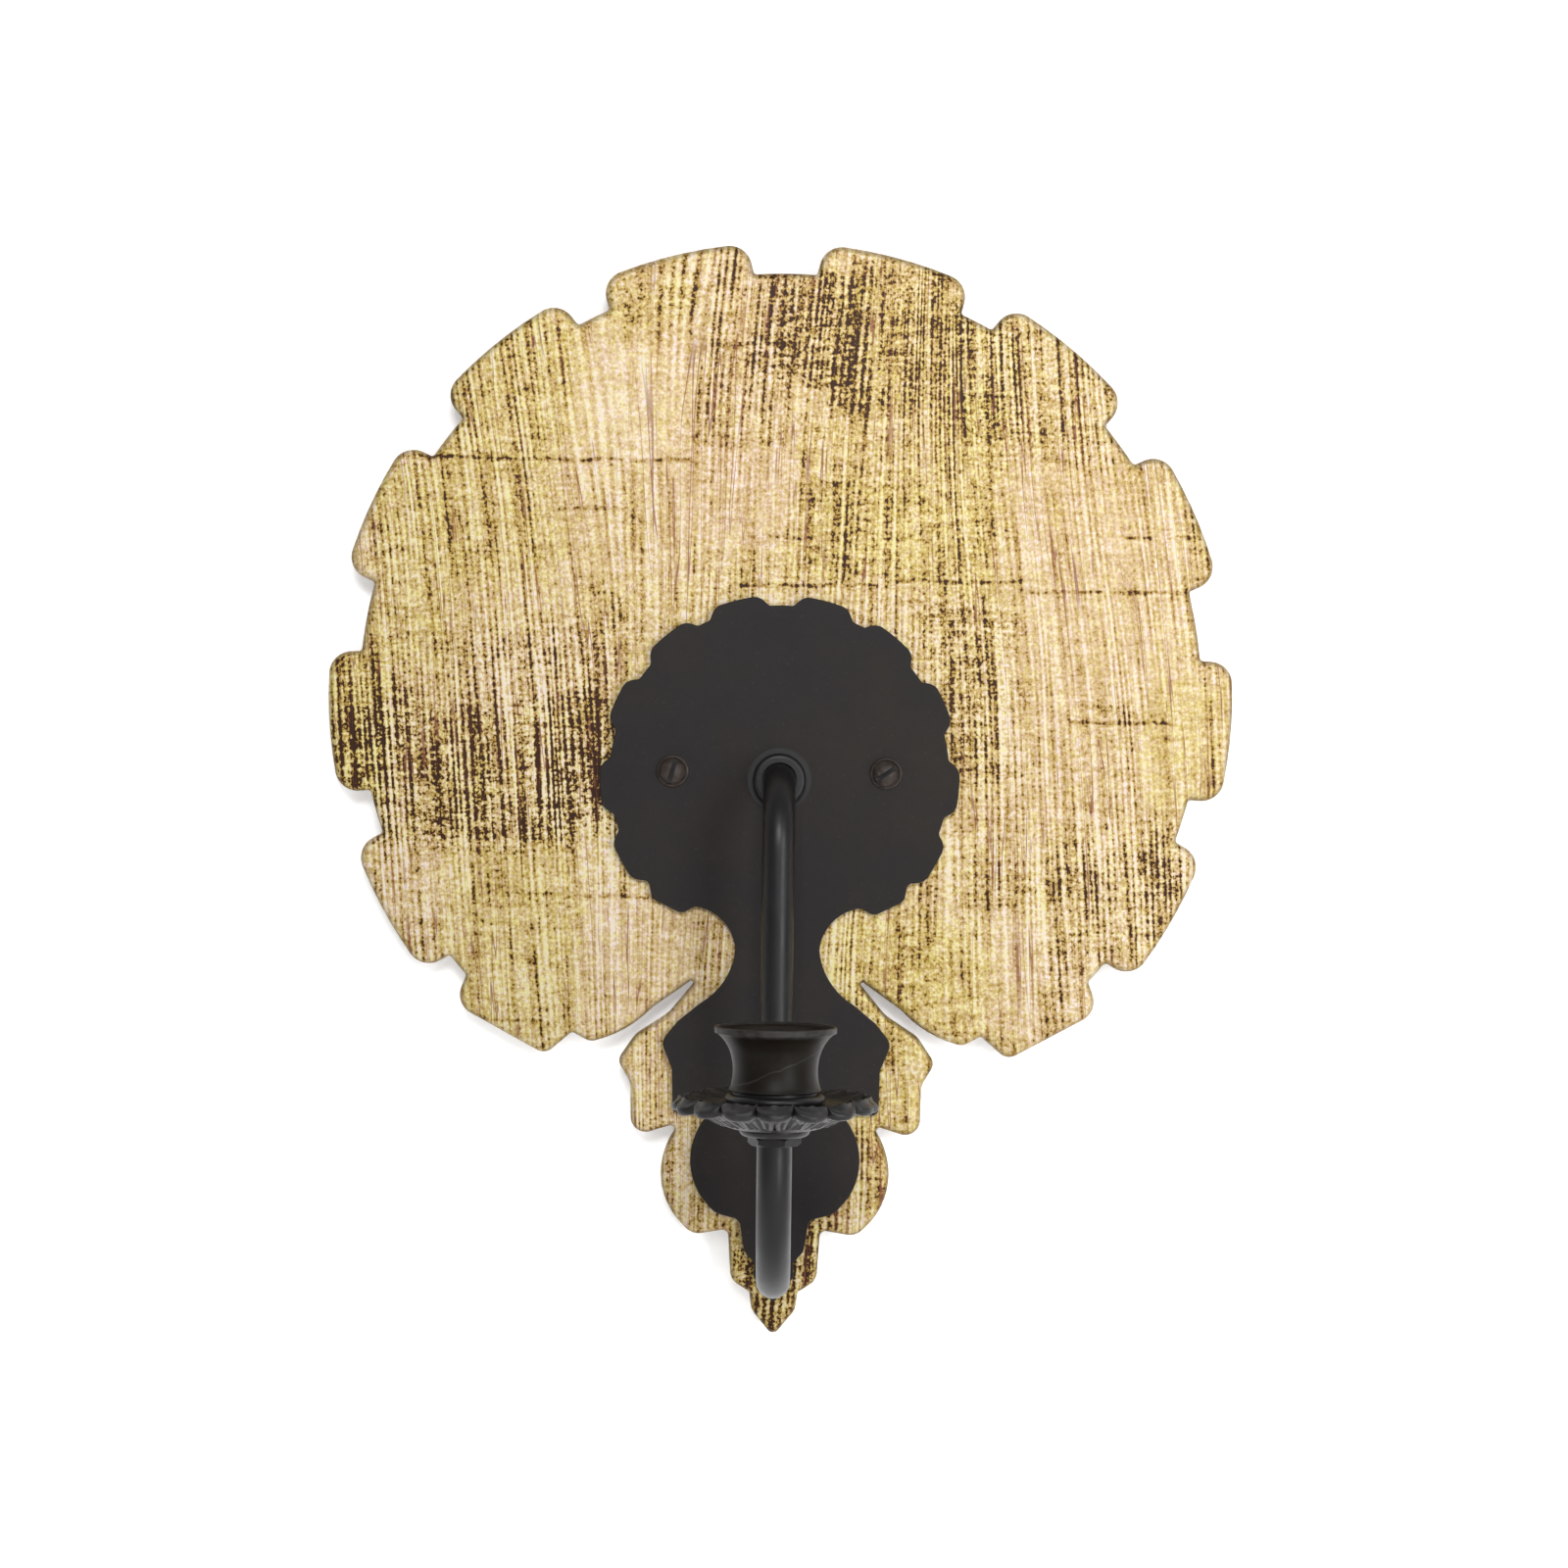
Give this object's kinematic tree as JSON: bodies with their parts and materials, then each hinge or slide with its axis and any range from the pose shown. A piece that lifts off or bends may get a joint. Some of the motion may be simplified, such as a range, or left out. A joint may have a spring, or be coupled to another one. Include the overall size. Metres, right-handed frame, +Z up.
{
  "type": "wall sconce candle holder",
  "caption": "Leaf-shaped gilded wall panel with a dark metal plate and a crook arm carrying a drip pan and candle cup.",
  "frame": {"origin": "on the wall plane, on the axis of the arm's stub, midway between the two wall screws", "axes": "+Y into the wall, +Z up, the sconce faces -Y; X is left to right seen from the front"},
  "size_m": [0.298, 0.1632, 0.3581],
  "materials": {
    "gold_leaf": "antiqued gold leaf over combed gesso on a wooden panel",
    "dark_plate_finish": "matt blackened bronze",
    "arm_black": "satin blackened bronze",
    "cup_patina": "blackened brass with rubbed edges",
    "cast_patina": "dark antiqued casting with rubbed high points",
    "screw_patina": "brown patina",
    "zinc_steel": "zinc plated",
    "rubber": "matt"
  },
  "bodies": {
    "sconce": {"wall_bracket": "zinc_steel", "bracket_nut_left": "zinc_steel", "bracket_nut_right": "zinc_steel", "gold_panel": "gold_leaf", "dark_plate": "dark_plate_finish", "screw_washer_left": "screw_patina", "screw_washer_right": "screw_patina", "wall_bumper_top": "rubber", "wall_bumper_left": "rubber", "wall_bumper_right": "rubber", "wall_bumper_bottom": "rubber", "arm_tube": "arm_black", "arm_collar": "arm_black", "arm_washer": "zinc_steel", "arm_lock_washer": "zinc_steel", "arm_nut": "zinc_steel", "pan_locknut": "arm_black", "pan_seat_ring": "cast_patina"},
    "left_screw": {"mounting_screw_left": "screw_patina"},
    "right_screw": {"mounting_screw_right": "screw_patina"},
    "pan": {"drip_pan": "cast_patina"},
    "cup": {"cup_seat_ring": "cast_patina", "candle_cup": "cup_patina", "cup_washer": "zinc_steel", "cup_nut": "zinc_steel"}
  },
  "joints": [
    {"name": "pan_lift", "type": "slide", "parent": "sconce", "child": "pan", "axis": [0, 0, 1], "range_m": [0, 0.02]},
    {"name": "cup_lift", "type": "slide", "parent": "pan", "child": "cup", "axis": [0, 0, 1], "range_m": [0, 0.02]},
    {"name": "left_screw_turn", "type": "hinge", "parent": "sconce", "child": "left_screw", "pos_m": [-0.035, -0.01, 0.0025], "axis": [0, 1, 0], "continuous": true},
    {"name": "right_screw_turn", "type": "hinge", "parent": "sconce", "child": "right_screw", "pos_m": [0.035, -0.01, 0.0025], "axis": [0, 1, 0], "continuous": true}
  ]
}
